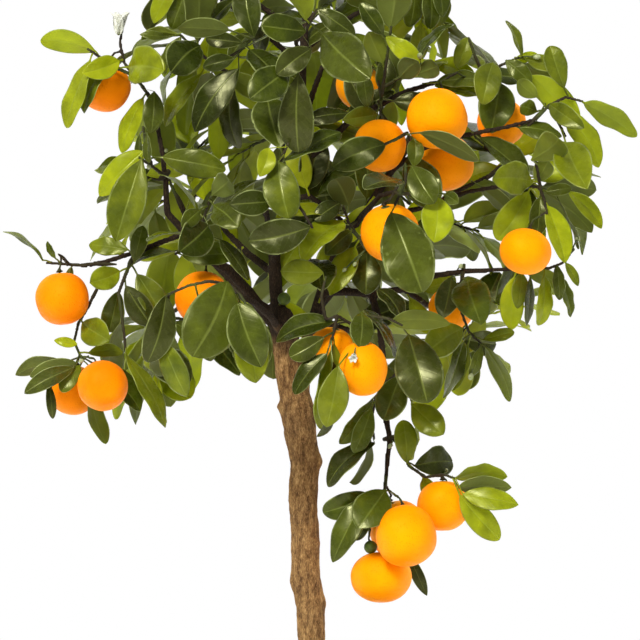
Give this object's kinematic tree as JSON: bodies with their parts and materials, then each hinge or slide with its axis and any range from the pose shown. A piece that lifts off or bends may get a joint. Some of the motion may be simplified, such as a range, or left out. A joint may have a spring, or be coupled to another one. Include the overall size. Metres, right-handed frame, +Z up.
{
  "type": "bonsai orange tree in a pot",
  "caption": "Small-fruited orange tree grown as a bonsai: tall bare trunk, round leafy crown with hanging oranges, granular soil and a round stoneware pot.",
  "frame": {"origin": "middle of the pot's foot, on the surface that the pot stands on", "axes": "+Z up along the trunk, -Y towards the side that the picture shows, +X to its right"},
  "size_m": [0.4373, 0.3204, 0.7495],
  "materials": {
    "pot_stoneware": "matte",
    "soil_mix": "matte",
    "screen_plastic": "matte",
    "bark": "matte",
    "fruit_peel": "satin",
    "leaf": "satin"
  },
  "bodies": {
    "root": {"pot": "pot_stoneware", "soil": "soil_mix", "drainage_screen": "screen_plastic", "trunk_and_limbs": "bark", "fruit_01": "fruit_peel", "fruit_02": "fruit_peel", "fruit_03": "fruit_peel", "fruit_04": "fruit_peel", "fruit_05": "fruit_peel", "fruit_06": "fruit_peel", "fruit_07": "fruit_peel", "fruit_08": "fruit_peel", "fruit_09": "fruit_peel", "fruit_10": "fruit_peel", "fruit_11": "fruit_peel", "fruit_12": "fruit_peel", "fruit_13": "fruit_peel", "fruit_14": "fruit_peel", "fruit_15": "fruit_peel", "fruit_16": "fruit_peel", "fruit_17": "fruit_peel", "fruit_18": "fruit_peel", "fruit_19": "fruit_peel", "spray_far_upper_left": "leaf", "spray_left_stem": "leaf", "spray_far_left": "leaf", "spray_lower_left": "leaf", "spray_left_under": "leaf", "spray_front_low_left": "leaf", "spray_left_centre": "leaf", "spray_centre_left": "leaf", "spray_front_low_right": "leaf", "spray_front_top": "leaf", "spray_upper_left": "leaf", "spray_top_left": "leaf", "spray_upper_right": "leaf", "spray_right_fruit": "leaf", "spray_right_top": "leaf", "spray_far_right": "leaf", "spray_right_middle": "leaf", "spray_right_low": "leaf", "spray_right_under": "leaf", "spray_front_right": "leaf", "spray_crossing": "leaf", "spray_low_fruits": "leaf", "spray_low_side": "leaf", "spray_hanging": "leaf", "spray_crown_tip": "leaf", "spray_top_right": "leaf", "spray_back_low": "leaf", "spray_back_left": "leaf", "spray_back_right": "leaf", "spray_back_middle": "leaf", "spray_back_top": "leaf", "spray_back_far_left": "leaf", "spray_back_top_left": "leaf", "spray_back_top_right": "leaf", "spray_back_far_right": "leaf", "spray_back_low_left": "leaf", "spray_back_low_right": "leaf"}
  },
  "joints": []
}
